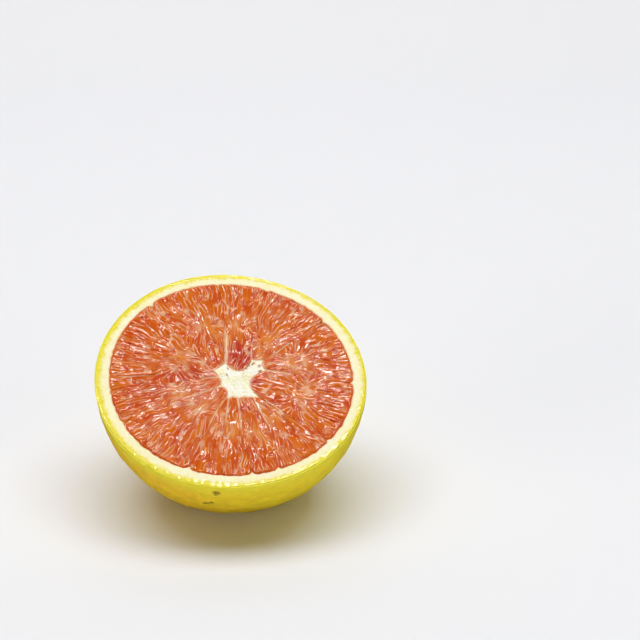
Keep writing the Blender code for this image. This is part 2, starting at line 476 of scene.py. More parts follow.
# %% [markdown]
# Inside the skin the fruit is laid out by its walls. Each wall is given by the angle of its outer
# end and the place of its inner end, and each wedge between two walls is one segment. place() turns
# two shares, across a segment and out from the core, into a spot on the cut. The walls of a real
# fruit aren't ruled, so each one wanders a little, and the two segments beside it follow.

# %% Layout of the segments
PULP_RADIUS = 35.95
PULP_SHIFT = 0.2
PULP_SWELL = 0.29
PULP_SWELL_ANGLE = math.radians(132)
# Each wall: the angle of its outer end in degrees, and the place of its inner end.
WALLS = (
    (129.3, (-5.6, 2.1)),
    (95.2, (-1.4, 5.3)),
    (70.7, (6.4, 6.6)),
    (35.3, (11.0, 6.7)),
    (-6.0, (11.1, 2.0)),
    (-41.4, (9.2, -8.2)),
    (-69.1, (6.6, -8.1)),
    (-80.9, (2.0, -8.3)),
    (-94.8, (-0.6, -8.5)),
    (-110.6, (-1.5, -8.1)),
    (-153.4, (-3.1, -3.4)),
    (-173.7, (-3.6, -0.2)),
)
# How far each segment's tip reaches past the line between its two inner ends, and its hub: the
# spot where the stalks of its juice sacs meet.
TIPS = (0.1, 3.8, 0.5, 1.2, 4.4, 0.3, 0.6, 0.8, 0.2, 1.2, 0.5, 0.5)
HUBS = (
    (-5.8, 18.8),
    (2.0, 18.6),
    (11.4, 13.4),
    (19.3, 4.3),
    (19.8, -7.2),
    (13.2, -14.6),
    (6.8, -21.3),
    (1.2, -20.2),
    (-3.7, -18.1),
    (-9.0, -11.6),
    (-14.6, -4.7),
    (-14.3, 7.8),
)
# How much of each wall shows from the core outwards before pulp covers it, as a share of it, and
# half of its thickness there.
WALL_SHOWS = (0.12, 0.36, 0.16, 0.38, 0.20, 0.26, 0.34, 0.34, 0.24, 0.34, 0.34, 0.10)
WALL_HALVES = (0.0, 0.26, 0.0, 0.0, 0.04, 0.02, 0.02, 0.02, 0.0, 0.0, 0.0, 0.0)
# How far each wall bends to its clockwise side at mid length.
WALL_BENDS = (0.0, 1.3, -1.2, 0.0, 0.0, 0.0, -1.2, 0.6, 0.3, 1.2, 0.0, 0.0)
# How wide the corners of the segments turn at each wall's outer end, where pith fills the notch.
NOTCHES = (2.0, 0.9, 1.2, 1.4, 1.8, 1.5, 1.6, 1.8, 0.4, 2.0, 1.0, 0.8)
WANDER = 0.28
FRINGE = 0.05


def pulp_edge(angle):
    """The pulp's outer edge on the cut at an angle."""
    reach = PULP_RADIUS + PULP_SWELL * np.cos(2 * (angle - PULP_SWELL_ANGLE))
    reach = reach + PULP_SHIFT * np.cos(angle)
    ripple = np.sin(37 * angle + 2.0) + 0.8 * np.sin(91 * angle) + np.sin(58 * angle + 1.0)
    reach = reach + FRINGE * ripple
    return np.stack([reach * np.cos(angle), reach * np.sin(angle)], axis=-1)


class Segment:
    """One wedge of pulp between two neighbouring walls, clockwise."""

    def __init__(self, index):
        after = (index + 1) % len(WALLS)
        self.index = index
        self.walls = (index, after)
        self.start = math.radians(WALLS[index][0])
        self.stop = math.radians(WALLS[after][0])
        if self.stop > self.start:
            self.stop -= 2 * math.pi
        self.first = np.array(WALLS[index][1])
        self.last = np.array(WALLS[after][1])
        self.hub = np.array(HUBS[index])
        chord = self.last - self.first
        middle = pulp_edge(np.array(0.5 * (self.start + self.stop)))
        inward = np.array((chord[1], -chord[0])) / np.linalg.norm(chord)
        if inward @ middle > inward @ self.first:
            inward = -inward
        self.tip = TIPS[index] * inward
        along = middle - 0.5 * (self.first + self.last)
        self.axis = along / np.linalg.norm(along)

    def wander(self, wall, out):
        """How far a wall strays sideways at a share of its length."""
        phase = 2.4 * wall
        sway = np.sin(5.1 * out + phase) + 0.6 * np.sin(13.0 * out + 1.7 * phase)
        return (WALL_BENDS[wall] + WANDER * sway) * np.sin(math.pi * np.clip(out, 0, 1))

    def place(self, across, out):
        """The spot on the cut at a share across the segment and a share out from the core."""
        across = np.asarray(across, dtype=float)
        out = np.asarray(out, dtype=float)
        hump = np.clip(4 * across * (1 - across), 0, 1)[..., None]
        inner = self.first + (self.last - self.first) * across[..., None] + self.tip * hump
        angle = self.start + (self.stop - self.start) * across
        edge = pulp_edge(angle)
        spot = inner + (edge - inner) * out[..., None]
        sideways = np.stack([np.sin(angle), -np.cos(angle)], axis=-1)
        first, last = self.walls
        stray = self.wander(first, out) * (1 - across) + self.wander(last, out) * across
        return spot + sideways * stray[..., None]

    def width(self, out):
        """Millimetres from wall to wall at a share out from the core."""
        out = np.asarray(out, dtype=float)
        ends = self.place(np.zeros_like(out), out), self.place(np.ones_like(out), out)
        return np.linalg.norm(ends[0] - ends[1], axis=-1)

    def reach(self):
        """Millimetres from the core to the ring along the segment's middle."""
        ends = self.place(0.5, 0.0), self.place(0.5, 1.0)
        return float(np.linalg.norm(ends[0] - ends[1]))


segments = [Segment(index) for index in range(len(WALLS))]
widest = max(float(segment.width(1.0)) for segment in segments)
print(len(segments), "segments, the widest", round(widest, 1), "mm")

# %% [markdown]
# Seen from above, each segment has rounded corners, and its pulp rolls down at its edge. inside()
# measures how far a spot is from the edge of its segment, with the corners rounded. The wall
# between two segments shows near the core and near the ring, and in between the pulp of both
# segments swells over it, so there the segments are let overlap.

# %% How far a spot is inside its segment
WALL_FADE = 0.14
WALL_RETURNS = (0.84, 0.96)
PULP_OVERLAP = 0.29
CORNER = 0.55
CORNER_WIDENS = (0.70, 0.95)
CORNERS_MEET = (0.3, 0.7)


def overlap(wall, out):
    """How far pulp swells over a wall: less than nothing at both ends."""
    shows = WALL_SHOWS[wall]
    mid = smooth_step(shows, shows + WALL_FADE, out) * (1 - smooth_step(*WALL_RETURNS, out))
    return (PULP_OVERLAP + WALL_HALVES[wall]) * mid - WALL_HALVES[wall]


def bare(segment, share, out):
    """1 where the nearer wall of a segment shows near the core, else 0."""
    first, last = (WALL_SHOWS[wall] for wall in segment.walls)
    shows = np.where(share < 0.5, first, last)
    return 1 - smooth_step(shows, shows + WALL_FADE, out)


def stretch(segment, share, out):
    """A share across the grid as a share across the segment, with the overlaps added."""
    first, last = (overlap(wall, out) for wall in segment.walls)
    width = segment.width(out)
    return (share * (width + first + last) - first) / width


def inside(segment, share, out):
    """Millimetres from the segment's rounded edge, for shares across its grid."""
    width = segment.width(out) + sum(overlap(wall, out) for wall in segment.walls)
    first, last = (NOTCHES[wall] for wall in segment.walls)
    notch = first + (last - first) * smooth_step(*CORNERS_MEET, share)
    turn = CORNER + (notch - CORNER) * smooth_step(*CORNER_WIDENS, out)
    shortfalls = [
        turn - share * width,
        turn - (1 - share) * width,
        turn - out * segment.reach(),
        turn - (1 - out) * segment.reach(),
    ]
    total = sum(np.clip(shortfall, 0, None) ** 2 for shortfall in shortfalls)
    return turn - np.sqrt(total)


# %% [markdown]
# The pith is the soft white body between skin and pulp. On the cut it shows as a ring, a core and
# thin walls, and under each segment it makes a bed. To know where the beds are, every spot would
# have to be tested against every segment. A map is faster: it is drawn once from all segments, and
# then says how deep inside one each spot is.

# %% Map of the segments
MAP_CELL = 0.25
MAP_HALF = 40.0
MAP_SHARES = 260
MAP_OUTS = 420


def segment_map():
    size = int(2 * MAP_HALF / MAP_CELL)
    depth = np.zeros((size, size))
    for segment in segments:
        share, out = np.meshgrid(np.linspace(0, 1, MAP_SHARES), np.linspace(0, 1, MAP_OUTS))
        share = share.ravel()
        out = out.ravel()
        spots = segment.place(stretch(segment, share, out), out)
        cells = ((spots + MAP_HALF) / MAP_CELL).astype(int)
        np.maximum.at(depth, (cells[:, 0], cells[:, 1]), inside(segment, share, out))
    return depth


PULP_MAP = segment_map()


def inside_any(places):
    """Reads the map between its cells."""
    spot = (places[:, :2] + MAP_HALF) / MAP_CELL - 0.5
    low = np.clip(spot.astype(int), 0, len(PULP_MAP) - 2)
    part = np.clip(spot - low, 0, 1)
    x, y = low[:, 0], low[:, 1]
    near = PULP_MAP[x, y] * (1 - part[:, 1]) + PULP_MAP[x, y + 1] * part[:, 1]
    far = PULP_MAP[x + 1, y] * (1 - part[:, 1]) + PULP_MAP[x + 1, y + 1] * part[:, 1]
    return near * (1 - part[:, 0]) + far * part[:, 0]


print("pulp covers", int((PULP_MAP > 0).sum() * MAP_CELL**2), "square mm of the cut")

# %% [markdown]
# Pith is dry and spongy, and scatters light, so it is rough with some subsurface. Its outermost
# millimetre is the coloured rind, wet with oil: its border is ragged, and the oil glands that the
# knife opened show as deeper yellow spots. It follows "rind", the distance in from the skin. Juice
# stains the bed under the pulp, and a few dark specks sit on the core.

# %% Pith finish


def pith_finish():
    pith = Finish("spongy_pith")
    cream = pith.blend(pith.grain(7).step(0.3, 0.7), (0.90, 0.84, 0.52), (0.92, 0.87, 0.60))
    specks = pith.grain(1.1, detail=3.0).step(0.52, 0.66)
    spongy = pith.blend(specks * 0.35, cream, (0.86, 0.76, 0.42))
    yellowed = pith.grain(3.2, detail=3.0).step(0.42, 0.66) * 0.5
    white = pith.blend(yellowed, (0.92, 0.89, 0.77), (0.86, 0.80, 0.36))
    body = pith.blend(pith.painted("core"), spongy, white)
    juicy = pith.blend(pith.painted("bed"), body, (0.84, 0.33, 0.10))
    stained = pith.blend(pith.painted("stain"), juicy, (0.40, 0.11, 0.06))
    ragged = 1.6 * (pith.grain(2.2, detail=3.0) - 0.5) + 0.8 * (pith.cells(1.1) - 0.45)
    thicker_left = pith.node("ShaderNodeSeparateXYZ", None, {0: pith.on_cut}) * 7.0
    yellow = (pith.painted("rind") + ragged + thicker_left).step(2.6, 1.0)
    glands = pith.cells(1.1).step(0.5, 0.2)
    lemon = pith.blend(glands * 0.85, (0.84, 0.74, 0.05), (0.80, 0.65, 0.006))
    edged = pith.blend(yellow, stained, lemon)
    rough = 0.55 - 0.2 * yellow
    fibres = pith.grain(0.35, detail=3.0, roughness=0.6)
    relief = pith.bump(fibres, 0.12, 0.7)
    return pith.wear(
        Base_Color=edged,
        Roughness=rough,
        Normal=relief,
        Subsurface_Weight=0.35,
        Subsurface_Radius=(1.0, 0.8, 0.45),
        Subsurface_Scale=0.0012,
        Coat_Weight=yellow,
        Coat_Roughness=0.10,
        IOR=1.4,
    )


# %% [markdown]
# The pith is a line spun right round, like a plate on a wheel, and then pressed down where the map
# says pulp. Spinning lays its faces in rings, so they follow the ring of pith and the rind, which
# a square grid would cut into steps. Its core is fibrous, with small pits and specks.

# %% Pith shape
SPIN_STEPS = 600
WELD = 1e-4
PITH_EDGE = 39.80
PITH_THICK = 2.6
CORE_ENDS = 12.0
RING_STARTS = 31.0
FINE_STEP = 0.3
COARSE_STEP = 0.8
BED_SINK = 1.5
BED_SLOPE = (0.02, 0.50)
MIDDLE_SINK = 0.5
EDGE_WIDTH = 1.4
EDGE_SINK = 0.13
TINT_SPREAD = (-0.15, 0, 0.15)
# Each speck: its place on the cut and its size.
PITH_SPECKS = (
    (5.3, 4.1, 0.5), (6.8, 4.5, 0.45), (8.9, 3.9, 0.5), (8.9, 1.7, 0.6), (4.6, 3.0, 0.35),
    (-1.0, 0.7, 0.4), (2.6, 2.5, 0.35), (7.2, 4.9, 0.4), (-2.8, 1.0, 0.35), (-0.8, 3.0, 0.35),
)


def pith_line():
    """The line that is spun: out along the top in fine steps, down, and back underneath."""
    core = np.arange(0.0, CORE_ENDS, FINE_STEP)
    middle = np.arange(CORE_ENDS, RING_STARTS, COARSE_STEP)
    ring = np.arange(RING_STARTS, PITH_EDGE, FINE_STEP)
    top = [(x, 0.0) for x in np.concatenate([core, middle, ring])]
    side = [(PITH_EDGE, -0.2), (PITH_EDGE - 0.3, -0.8), (PITH_EDGE - 1.2, -PITH_THICK)]
    return top + side + [(0.0, -PITH_THICK)]


def spun_disc(outline):
    """A closed disc from a line that starts and ends on the middle axis."""
    shape = bmesh.new()
    corners = [shape.verts.new((x, 0.0, z)) for x, z in outline]
    edges = [shape.edges.new(pair) for pair in zip(corners, corners[1:])]
    turn = {"cent": (0, 0, 0), "axis": (0, 0, 1), "angle": 2 * math.pi}
    bmesh.ops.spin(shape, geom=corners + edges, steps=SPIN_STEPS, use_merge=True, **turn)
    bmesh.ops.remove_doubles(shape, verts=shape.verts, dist=WELD)
    bmesh.ops.recalc_face_normals(shape, faces=shape.faces)
    return shape


def pith_relief(places):
    """The height of the pith's upper side."""
    reach = np.hypot(places[:, 0], places[:, 1])
    bed = smooth_step(*BED_SLOPE, inside_any(places))
    middle = smooth_step(18.0, 21.0, reach) * (1 - smooth_step(29.5, 32.5, reach))
    sponge = 0.05 * waves(places, 1.3, seed=11) + 0.05 * waves(places, 2.9, seed=12)
    core = 1 - smooth_step(8.0, CORE_ENDS, reach)
    pits = np.clip(waves(places, 1.0, seed=13) - 0.9, 0, 1) * 0.35 * core
    fibres = 0.10 * core * waves(places * (1.0, 1.6, 1.0), 0.8, seed=14)
    edge = -EDGE_SINK * np.clip((reach - PITH_EDGE + EDGE_WIDTH) / EDGE_WIDTH, 0, 1) ** 2
    return sponge + fibres - pits - BED_SINK * bed - MIDDLE_SINK * middle + edge


def bed_tint(places):
    """Where juice tints the pith: in the beds and just past their edges."""
    beside = [inside_any(places + (x, y, 0)) for x in TINT_SPREAD for y in TINT_SPREAD]
    return 0.9 * smooth_step(0.0, 0.15, np.max(beside, axis=0))


def stain_at(places):
    """How dark each spot of the core is from the specks on it."""
    stain = np.zeros(len(places))
    for x, y, size in PITH_SPECKS:
        away = np.hypot(places[:, 0] - x, places[:, 1] - y) + 0.22 * waves(places, 0.9, seed=15)
        stain = np.maximum(stain, 0.85 * (1 - smooth_step(0.5 * size, 1.3 * size, away)))
    return stain


def make_pith():
    shape = spun_disc(pith_line())
    places = points_of(shape)
    top = places[:, 2] > -PLANE_TOLERANCE
    tint = bed_tint(places) * top
    places[:, 2] = np.where(top, pith_relief(places), places[:, 2])
    move_points(shape, swell(places))
    reach = np.hypot(places[:, 0], places[:, 1])
    core = 1 - smooth_step(9.0, 14.0, reach)
    pith = finished_piece(shape, "pith", pith_finish())
    paint(pith, {"rind": CUT_RADIUS - reach, "core": core, "bed": tint, "stain": stain_at(places)})
    claim(pith)


make_pith()

# %% [markdown]
# A juice sac is a thin bag on a stalk. In each segment the stalks meet at a hub, and the sacs fan
# out from it, out to the ring and in to the core. Near both ends they turn to lie along the
# segment. flow() gives the way the sacs point at a spot. A sac has no front or back to a line drawn
# along it, so the two fans are mixed at twice their angle, where opposite headings are the same.

# %% Which way the sacs point
OUTER_ROOT = 3.5
INNER_ROOT = 6.0
HUB_BLEND = 4.5
END_TURN = 0.6
END_TURN_FROM = (1.0, 10.0)


def doubled_angle(ways, weight):
    """Arrows at twice the angle of the given ones, as long as their weight."""
    angle = 2 * np.arctan2(ways[..., 1], ways[..., 0])
    return np.stack([np.cos(angle), np.sin(angle)], axis=-1) * weight[..., None]


def flow(segment, spots):
    """The heading of the sacs at each spot, from the hub to the tip."""
    axis = segment.axis
    ahead = (spots - segment.hub) @ axis
    outer = spots - (segment.hub - OUTER_ROOT * axis)
    inner = (segment.hub + INNER_ROOT * axis) - spots
    share = smooth_step(-HUB_BLEND, HUB_BLEND, ahead)
    turn = END_TURN * smooth_step(*END_TURN_FROM, np.abs(ahead))
    fans = doubled_angle(outer, share * (1 - turn)) + doubled_angle(inner, (1 - share) * (1 - turn))
    mixed = fans + doubled_angle(spots, turn)
    heading = 0.5 * np.arctan2(mixed[..., 1], mixed[..., 0])
    forward = np.cos(heading) * axis[0] + np.sin(heading) * axis[1]
    backward = (forward > 0) != (ahead > 0)
    return heading + math.pi * backward


# %% [markdown]
# Laying hundreds of bags side by side as separate meshes would hide most of their faces. Only their
# upper sides show, so each segment is one sheet. Each sac is laid as a line, drawn at random and
# kept where it isn't too close to one drawn before. Each point of the sheet belongs to its nearest
# line, so that sacs fill the segment with no gaps, as grown ones do. Where two sacs are equally
# near, two skins meet, and that seam is where the thin pale lines of a cut orange are.

# %% Laying out the juice sacs
SAC_TRIES = 2600
SAC_MARGIN = 0.01
SAC_ROOM = 0.42
SAC_GAP = 1.05
SAC_GAP_SPREAD = (0.6, 1.5)
SAC_LENGTH = (6.0, 15.0)
SAC_HALF_WIDTH = (0.15, 0.50)
SAC_BULGE = (-0.15, 0.55)
SAC_TURN = 0.10
MOST_CURVE = 0.12
# Where along a segment, from the core out, the sacs get shorter near the ring and near the core.
NEAR_RING = (0.74, 0.95)
NEAR_CORE = (0.08, 0.30)


def drawn_spots(segment, draw):
    """Random spots, evenly spread over a segment."""
    out = draw.uniform(-SAC_MARGIN, 1 + SAC_MARGIN, 3 * SAC_TRIES)
    width = segment.width(out)
    out = out[draw.uniform(0, 1, len(out)) < width / width.max()][:SAC_TRIES]
    share = draw.uniform(-SAC_MARGIN, 1 + SAC_MARGIN, len(out))
    return segment.place(share, out), out


def spaced(middle, heading, length, gap):
    """The sacs that keep their distance from all those before them."""
    kept = []
    way = np.stack([np.cos(heading), np.sin(heading)], axis=-1)
    for i in range(len(length)):
        offset = middle[kept] - middle[i]
        ahead = offset @ way[i]
        aside = offset[:, 1] * way[i, 0] - offset[:, 0] * way[i, 1]
        room = SAC_ROOM * (length[kept] + length[i])
        if not ((ahead / room) ** 2 + (aside / gap[i]) ** 2 < 1).any():
            kept.append(i)
    return kept


def lay_sacs(segment, draw):
    """Draws the sacs of one segment: a dictionary of arrays."""
    middle, out = drawn_spots(segment, draw)
    count = len(out)
    heading = flow(segment, middle) + draw.normal(0, SAC_TURN, count)
    ring = smooth_step(*NEAR_RING, out)
    core = 1 - smooth_step(*NEAR_CORE, out)
    length = draw.uniform(*SAC_LENGTH, count) * (1 - 0.5 * ring - 0.35 * core)
    gap = SAC_GAP * draw.uniform(*SAC_GAP_SPREAD, count) * (1 - 0.2 * core)
    kept = spaced(middle, heading, length, gap)
    middle, heading, length = middle[kept], heading[kept], length[kept]
    ahead = 0.4 * length[:, None] * np.stack([np.cos(heading), np.sin(heading)], axis=-1)
    bend = flow(segment, middle + ahead) - flow(segment, middle - ahead)
    bend = (bend + math.pi / 2) % math.pi - math.pi / 2
    curve = np.clip(bend / (0.8 * length), -MOST_CURVE, MOST_CURVE)
    count = len(length)
    return {
        "middle": middle,
        "heading": heading,
        "length": length,
        "half_width": draw.uniform(*SAC_HALF_WIDTH, count),
        "curve": curve + draw.normal(0, 0.015, count),
        "bulge": draw.uniform(*SAC_BULGE, count),
        "skew": draw.normal(0, 0.16, count),
        "tint": draw.uniform(0, 1, count),
        "veil": draw.uniform(0, 1, count),
        "phase": draw.uniform(0, 2 * math.pi, count),
    }


# %% [markdown]
# raise_sacs() goes through the sacs one by one. For the points near a sac it works out how far
# along it and how far to its side they lie. A blunt spindle, thin towards the stalk, gives a sac
# more or less room along its length. Whole sacs bulge between their seams, and sacs that the knife
# opened sink, which leaves their skins as low ridges.

# %% Raising the sheet over the sacs
# How far past its ends and sides a sac may own a spot, and a distance beyond any such spot.
REACH = 2.6
FAR = 9.0
WIDEST_SEAM = 1.5
TIP_LENGTH = 0.28
SKIN_WIDTH = 0.11
SKIN_RIDGE = 0.05
CLEFT_DEPTH = 0.22


def spindle(along):
    """How wide a sac is along its length, from stalk to tip, as a share of its full width."""
    body = np.clip(along, 0, 1) ** 0.55
    tip = np.clip(along - (1 - TIP_LENGTH), 0, None) / TIP_LENGTH
    return body * np.sqrt(np.clip(1 - tip**2, 0, 1))


def nearest_sacs(spots, sacs):
    """For each spot: its sac, how far it is from that sac's line, and from the nearest seam."""
    first = np.full(len(spots), FAR)
    second = np.full(len(spots), FAR + 0.5)
    owner = np.zeros(len(spots), dtype=int)
    away = np.zeros(len(spots))
    along = np.zeros(len(spots))
    for i, length in enumerate(sacs["length"]):
        offset = spots - sacs["middle"][i]
        chosen = np.nonzero(np.abs(offset).max(axis=1) < 0.5 * length + REACH)[0]
        offset = offset[chosen]
        cosine, sine = math.cos(sacs["heading"][i]), math.sin(sacs["heading"][i])
        ahead = offset[:, 0] * cosine + offset[:, 1] * sine
        aside = offset[:, 1] * cosine - offset[:, 0] * sine
        aside = aside - 0.5 * sacs["curve"][i] * ahead**2
        aside = aside + 0.05 * np.sin(1.3 * ahead + sacs["phase"][i])
        past = np.clip(np.abs(ahead) - 0.5 * length, 0, None)
        part = ahead / length + 0.5
        score = np.hypot(aside, past) - sacs["half_width"][i] * spindle(part)
        ahead_of_all = score < first[chosen]
        runner_up = np.minimum(second[chosen], score)
        second[chosen] = np.where(ahead_of_all, first[chosen], runner_up)
        winners = chosen[ahead_of_all]
        first[winners] = score[ahead_of_all]
        owner[winners] = i
        away[winners] = aside[ahead_of_all]
        along[winners] = part[ahead_of_all]
    return owner, away, along, np.clip(0.5 * (second - first), 0, WIDEST_SEAM)


def raise_sacs(spots, sacs):
    """For each spot: how high its sac lifts it, and what the pulp's finish reads there."""
    owner, away, along, seam = nearest_sacs(spots, sacs)
    half = np.abs(away) + seam + 1e-6
    side = away / half
    body = (1 - side**2) * np.clip(half, 0, 0.9)
    cleft_and_shade = smooth_step(0.1, 1.1, waves(spots, 4.0, seed=31))
    top = body * (sacs["bulge"][owner] + sacs["skew"][owner] * side)
    top = top * smooth_step(0.0, 0.10, seam) + SKIN_RIDGE * np.exp(-((seam / SKIN_WIDTH) ** 2))
    top = top - CLEFT_DEPTH * cleft_and_shade * np.exp(-((seam / 0.16) ** 2))
    return {
        "height": top,
        "along": along,
        "tint": sacs["tint"][owner],
        "veil": sacs["veil"][owner],
        "seam": seam,
        # The finish paints these clefts darker: painted shade.
        "cleft_and_shade": cleft_and_shade * np.exp(-((seam / 0.14) ** 2)),
        "lengthwise": smooth_step(-0.02, 0.12, along) * (1 - smooth_step(0.90, 1.0, along)),
    }


# %% [markdown]
# Pulp is wet and clear. Light goes in and comes back orange, so it has subsurface, a smooth coat
# of juice, and colours that change from sac to sac: deep red where the fruit has most pigment,
# orange elsewhere, and pale at the stalks and along the skins of the sacs. The clefts between sacs
# are painted darker red, as painted shade.

# %% Pulp finish
# Each blush of deep red: its place on the cut, its size and its strength.
BLUSHES = (
    (2.8, 7.5, 5.5, 1.0), (-13.9, 1.3, 8.0, 0.65), (-23.8, -3.9, 8.0, 0.5), (23.6, 11.8, 5.0, 0.45),
    (-10.0, -8.3, 6.0, 0.55), (3.9, -12.0, 1.7, 1.0), (14.2, 2.4, 5.0, 0.4), (-30.0, 9.4, 5.0, 0.35),
    (12.2, -10.4, 4.5, 0.5), (-2.5, 29.4, 7.0, 0.2), (26.6, -10.4, 7.0, 0.4), (7.3, -2.4, 1.8, 0.9),
    (26.0, 3.0, 9.0, 0.4),
)


def pulp_finish():
    pulp = Finish("wet_pulp")
    tint = pulp.painted("tint")
    clouds = pulp.grain(6.0, detail=3.0)
    ripe = (tint * 0.45 + clouds * 0.9).step(0.35, 1.05)
    flesh = pulp.blend(ripe, (0.66, 0.150, 0.008), (0.57, 0.070, 0.010))
    blush = pulp.painted("blush") * (0.55 + 0.9 * pulp.grain(2.2))
    red = pulp.blend(blush.step(0.12, 0.9), flesh, (0.47, 0.032, 0.020))
    veil = pulp.painted("veil").step(0.60, 0.95) * pulp.grain(3.5, detail=3.0).step(0.4, 0.7)
    veiled = pulp.blend(veil * 0.30, red, (0.70, 0.30, 0.14))
    pale = pulp.blend(pulp.painted("pale") * 0.7, veiled, (0.76, 0.30, 0.07))
    seam = pulp.painted("seam")
    skins = pulp.grain(4.0).step(0.36, 0.60)
    near = seam / (0.45 + 1.1 * pulp.grain(3.0))
    line = near.step(0.20, 0.04) * skins * pulp.painted("lengthwise")
    lined = pulp.blend(line * 0.9, pale, (0.80, 0.50, 0.32))
    # Painted shade: the clefts between sacs are painted a darker red.
    dark = pulp.blend(pulp.painted("cleft_and_shade") * 0.8, lined, (0.52, 0.036, 0.004))
    wall = pulp.painted("wall") * pulp.grain(2.0, detail=3.0).step(0.25, 0.5)
    walled = pulp.blend(wall * 0.85, dark, (0.92, 0.62, 0.40))
    wrinkles = pulp.grain(0.5, roughness=0.55)
    relief = pulp.bump(wrinkles, 0.025, 0.4)
    rough = 0.40 + 0.24 * pulp.grain(1.2)
    return pulp.wear(
        Base_Color=walled,
        Roughness=rough,
        Normal=relief,
        Subsurface_Weight=0.7,
        Subsurface_Radius=(1.0, 0.35, 0.15),
        Subsurface_Scale=0.0005,
        Specular_IOR_Level=0.0,
        Coat_Weight=1.0,
        Coat_Roughness=0.06,
        Coat_IOR=1.6,
        IOR=1.36,
    )


PULP = pulp_finish()

# %% [markdown]
# Each segment's sheet is a fine grid. The grid is bent to the wedge between its walls, raised over
# the sacs, and rolled down under the pith at its edge, so that pith and pulp meet in a crisp
# rounded line. The edge of the sheet is then pulled down and filled, which closes the piece.

# %% Segment shape
GRID_STEP = 0.15
SKIRT = -2.0
SAC_SEED = 100
ROLL_WIDTH = 0.22
ROLL_DEPTH = 0.16
OPEN_WALL_RISE = 0.15


def segment_grid(segment):
    """A flat grid for a segment, and each point's share across it and out from the core."""
    columns = int((segment.start - segment.stop) * PULP_RADIUS / GRID_STEP)
    rows = int(segment.reach() / GRID_STEP)
    shape = bmesh.new()
    bmesh.ops.create_grid(shape, x_segments=columns, y_segments=rows, size=0.5)
    grid = points_of(shape)
    share = (grid[:, 0] - grid[:, 0].min()) / np.ptp(grid[:, 0])
    out = (grid[:, 1] - grid[:, 1].min()) / np.ptp(grid[:, 1])
    return shape, share, out


def close_sheet(shape):
    """Pulls the open edge down to a level skirt and fills it."""
    border = [edge for edge in shape.edges if len(edge.link_faces) == 1]
    made = bmesh.ops.extrude_edge_only(shape, edges=border)["geom"]
    lower = [item for item in made if isinstance(item, bmesh.types.BMVert)]
    for corner in lower:
        corner.co.z = SKIRT
    loop = [item for item in made if isinstance(item, bmesh.types.BMEdge)]
    loop = [edge for edge in loop if len(edge.link_faces) == 1]
    bmesh.ops.contextual_create(shape, geom=loop)


def strayed(spots):
    """Shifts spots a little, so that neighbouring sacs bend together."""
    x = 0.30 * waves(spots, 7.0, seed=21) + 0.03 * waves(spots, 2.0, seed=22)
    y = 0.30 * waves(spots, 7.0, seed=23) + 0.03 * waves(spots, 2.0, seed=24)
    return spots + np.stack([x, y], axis=-1)


def blush_at(spots):
    """How deep the red is at each spot."""
    amount = np.zeros(len(spots))
    for x, y, size, strength in BLUSHES:
        away = np.hypot(spots[:, 0] - x, spots[:, 1] - y)
        away = away * (1 + 0.35 * waves(spots, 5.0, seed=25))
        amount = np.maximum(amount, strength * np.exp(-((away / size) ** 2)))
    return amount


def sheet_height(spots, lifted, depth, open_wall):
    """The height of a segment's sheet: low swellings, the sacs on them, and the roll at the edge."""
    hump = 0.14 * waves(spots, 7.0, seed=26) + 0.03 * waves(spots, 2.4, seed=27)
    hump = hump + 0.06 + 0.10 * (1 - smooth_step(0.6, 2.6, depth))
    height = lifted * smooth_step(0.0, 0.8, depth) + hump
    roll = 1 - np.exp(-((np.clip(depth, 0, None) / ROLL_WIDTH) ** 2))
    return height * roll - (ROLL_DEPTH - OPEN_WALL_RISE * open_wall) * (1 - roll)


def make_segment(segment):
    draw = np.random.default_rng(SAC_SEED + segment.index)
    shape, share, out = segment_grid(segment)
    spots = segment.place(stretch(segment, share, out), out)
    fields = raise_sacs(strayed(spots), lay_sacs(segment, draw))
    depth = inside(segment, share, out)
    open_wall = bare(segment, share, out)
    height = sheet_height(spots, fields.pop("height"), depth, open_wall)
    move_points(shape, np.column_stack([spots, height]))
    close_sheet(shape)
    bmesh.ops.recalc_face_normals(shape, faces=shape.faces)
    move_points(shape, swell(points_of(shape)))
    from_hub = np.linalg.norm(spots - segment.hub, axis=1)
    stalks = 0.35 * (1 - smooth_step(0.0, 0.35, fields.pop("along")))
    fields["lengthwise"] *= smooth_step(0.0, 0.6, depth)
    fields["wall"] = open_wall * (1 - smooth_step(0.10, 0.42, depth))
    fields["pale"] = np.clip(0.65 * np.exp(-((from_hub / 3.8) ** 2)) + stalks, 0, 1)
    fields["blush"] = blush_at(spots)
    piece = finished_piece(shape, f"pulp_segment_{segment.index + 1:02d}", PULP)
    paint(piece, fields)
    claim(piece)


for segment in segments:
    make_segment(segment)

# %% [markdown]
# The studio is a sheet of pale paper that lies flat under the fruit and bends up into a backdrop
# far behind, so that no corner shows. It is a flat grid with one edge drawn up, and the fold
# between them is beveled in many steps. Its colour grows a little paler towards the camera, which
# is painted light.

# %% Floor and backdrop
FLOOR_HALF = 1.5
FLOOR_BACK = 0.75
BACKDROP_BACK = 1.0
BACKDROP_TOP = 1.6
BEND_WIDTH = 0.35
BEND_STEPS = 16


def floor_finish():
    paper = Finish("pale_floor")
    ahead = paper.node("ShaderNodeSeparateXYZ", None, {0: paper.on_cut}, 1)
    # Painted light: the paper is painted paler towards the camera.
    painted_light_tone = paper.blend(ahead.step(0.15, -0.35), (0.765, 0.765, 0.765), (0.81, 0.81, 0.81))
    return paper.wear(Base_Color=painted_light_tone, Roughness=0.75, IOR=1.3)


